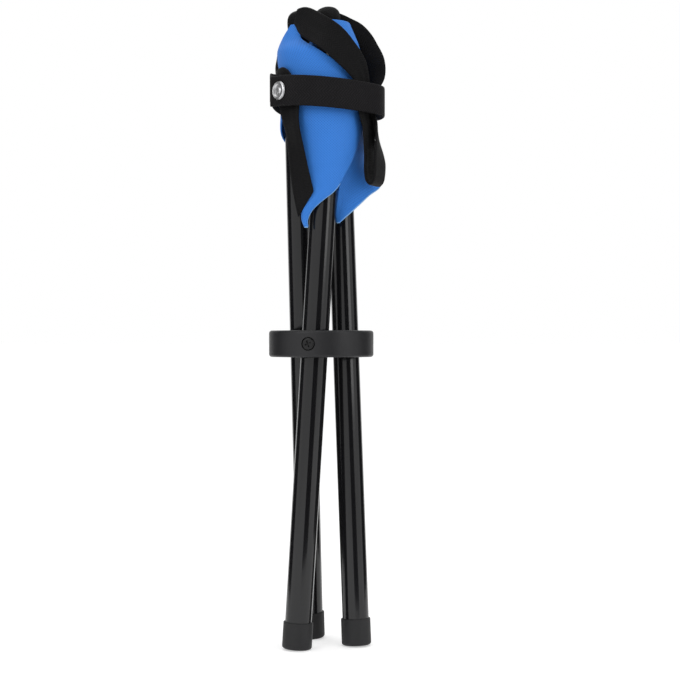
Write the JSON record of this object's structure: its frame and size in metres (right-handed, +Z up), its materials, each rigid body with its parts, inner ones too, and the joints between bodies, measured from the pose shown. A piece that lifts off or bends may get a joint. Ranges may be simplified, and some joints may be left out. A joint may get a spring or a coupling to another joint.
{
  "type": "tripod camping stool",
  "caption": "Folding camping stool: tube legs crossing in a screwed hub ring, a cloth seat with pockets on the leg ends and a snap strap that holds it folded.",
  "frame": {"origin": "on the floor, under the middle of the folded stool's bounding box", "axes": "+Z up along the folded legs, -Y the front of the folded stool, +X to its right"},
  "size_m": [0.0974, 0.0944, 0.5271],
  "materials": {
    "black_enamel": "gloss",
    "moulded_black": "satin",
    "rubber_black": "matte",
    "blacked_steel": "satin",
    "zinc_steel": "satin",
    "blue_cloth": "woven",
    "black_webbing": "woven",
    "bright_snap": "polished"
  },
  "bodies": {
    "hub": {"hub_ring": "moulded_black", "pivot_screw_a": "blacked_steel", "pivot_washer_a": "zinc_steel", "lock_nut_a": "zinc_steel", "pivot_screw_b": "blacked_steel", "pivot_washer_b": "zinc_steel", "lock_nut_b": "zinc_steel", "pivot_screw_c": "blacked_steel", "pivot_washer_c": "zinc_steel", "lock_nut_c": "zinc_steel", "seat_panel": "blue_cloth"},
    "leg_a": {"leg_tube_a": "black_enamel", "foot_cap_a": "rubber_black", "top_plug_a": "moulded_black", "corner_tip_a": "black_webbing", "pocket_flap_a": "blue_cloth"},
    "leg_b": {"leg_tube_b": "black_enamel", "foot_cap_b": "rubber_black", "top_plug_b": "moulded_black", "corner_tip_b": "black_webbing", "pocket_flap_b": "blue_cloth"},
    "leg_c": {"leg_tube_c": "black_enamel", "foot_cap_c": "rubber_black", "top_plug_c": "moulded_black", "corner_tip_c": "black_webbing", "pocket_flap_c": "blue_cloth", "strap_rear": "black_webbing", "snap_stud": "bright_snap", "snap_post": "bright_snap"},
    "edge_ab": {"edge_tape_ab": "black_webbing"},
    "edge_bc": {"edge_tape_bc": "black_webbing"},
    "edge_ca": {"edge_tape_ca": "black_webbing"},
    "strap": {"strap_front": "black_webbing", "snap_cap": "bright_snap", "snap_socket": "bright_snap"}
  },
  "joints": [
    {"name": "leg_a_swing", "type": "hinge", "parent": "hub", "child": "leg_a", "pos_m": [-0.00502, -0.00398, 0.25016], "axis": [0.2351, 0.972, 0], "range_deg": [0, 36], "deforming": ["pocket_flap_a", "seat_panel"]},
    {"name": "leg_b_swing", "type": "hinge", "parent": "hub", "child": "leg_b", "pos_m": [-0.00502, -0.00398, 0.25016], "axis": [-0.9593, -0.2823, 0], "range_deg": [0, 36], "deforming": ["pocket_flap_b"]},
    {"name": "leg_c_swing", "type": "hinge", "parent": "hub", "child": "leg_c", "pos_m": [-0.00502, -0.00398, 0.25016], "axis": [0.7242, -0.6896, 0], "range_deg": [0, 36], "deforming": ["pocket_flap_c", "strap_rear"]},
    {"name": "edge_ab_swing", "type": "hinge", "parent": "hub", "child": "edge_ab", "pos_m": [-0.00502, -0.00398, 0.25016], "axis": [-0.6482, 0.7614, 0], "range_deg": [0, 12], "deforming": ["edge_tape_ab"]},
    {"name": "edge_bc_swing", "type": "hinge", "parent": "hub", "child": "edge_bc", "pos_m": [-0.00502, -0.00398, 0.25016], "axis": [-0.3353, -0.9421, 0], "range_deg": [0, 12], "deforming": ["edge_tape_bc"]},
    {"name": "edge_ca_swing", "type": "hinge", "parent": "hub", "child": "edge_ca", "pos_m": [-0.00502, -0.00398, 0.25016], "axis": [0.9835, 0.1807, 0], "range_deg": [0, 12], "deforming": ["edge_tape_ca"]},
    {"name": "strap_open", "type": "hinge", "parent": "leg_c", "child": "strap", "pos_m": [0.04661, 0.00328, 0.45116], "axis": [0, 0, 1], "range_deg": [0, 110], "deforming": ["strap_front"]}
  ],
  "couplings": [
    {"joint": "leg_b_swing", "follows": "leg_a_swing", "ratio": 1},
    {"joint": "leg_c_swing", "follows": "leg_a_swing", "ratio": 1},
    {"joint": "edge_ab_swing", "follows": "leg_a_swing", "ratio": 0.33333},
    {"joint": "edge_bc_swing", "follows": "leg_a_swing", "ratio": 0.33333},
    {"joint": "edge_ca_swing", "follows": "leg_a_swing", "ratio": 0.33333}
  ]
}
